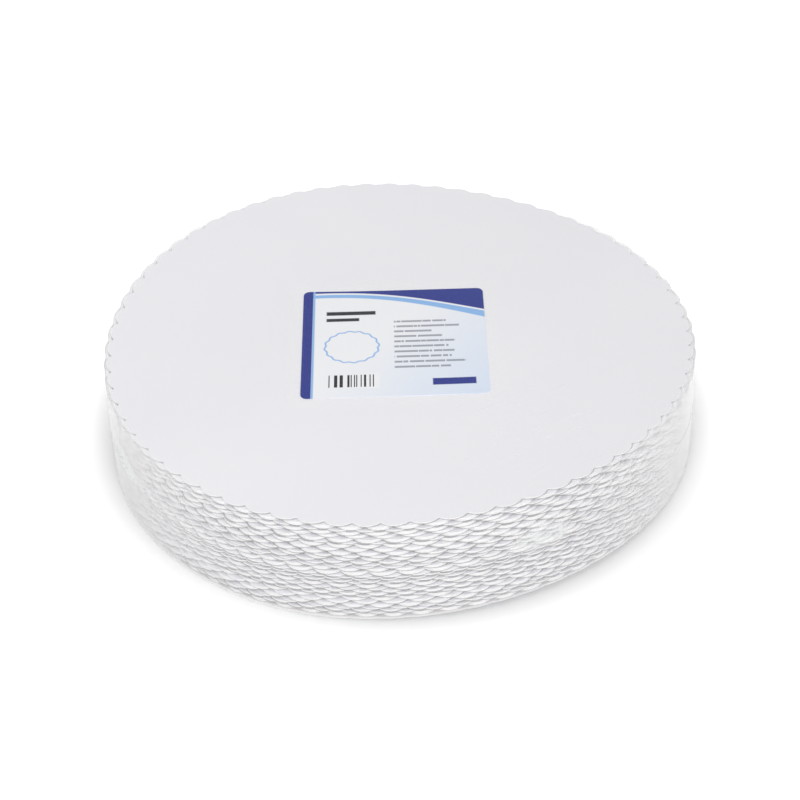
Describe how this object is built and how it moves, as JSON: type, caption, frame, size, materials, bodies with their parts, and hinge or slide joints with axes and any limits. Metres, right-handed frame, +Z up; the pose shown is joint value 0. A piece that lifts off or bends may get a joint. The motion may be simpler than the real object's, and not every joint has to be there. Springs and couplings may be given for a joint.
{
  "type": "sealed pack of round cake boards",
  "caption": "Stack of round white cardboard cake boards with scalloped edges and a printed label card, sealed in clear shrink film.",
  "frame": {"origin": "centre of the underside of the film, on the surface that the pack lies on", "axes": "+Z up through the stack of boards; the label's long lines run along +X and its top edge faces +Y"},
  "size_m": [0.263, 0.263, 0.0579],
  "materials": {
    "board": "smooth white coated cardboard, matte, with cut edges",
    "label": "semi-gloss printed card",
    "film": "clear glossy shrink film"
  },
  "bodies": {
    "root": {"boards_1_to_10": "board", "boards_11_to_20": "board", "boards_21_to_30": "board", "boards_31_to_40": "board", "boards_41_to_50": "board", "boards_51_to_60": "board", "boards_61_to_70": "board", "boards_71_to_80": "board", "boards_81_to_90": "board", "boards_91_to_100": "board", "label_card": "label", "shrink_film": "film"}
  },
  "joints": []
}
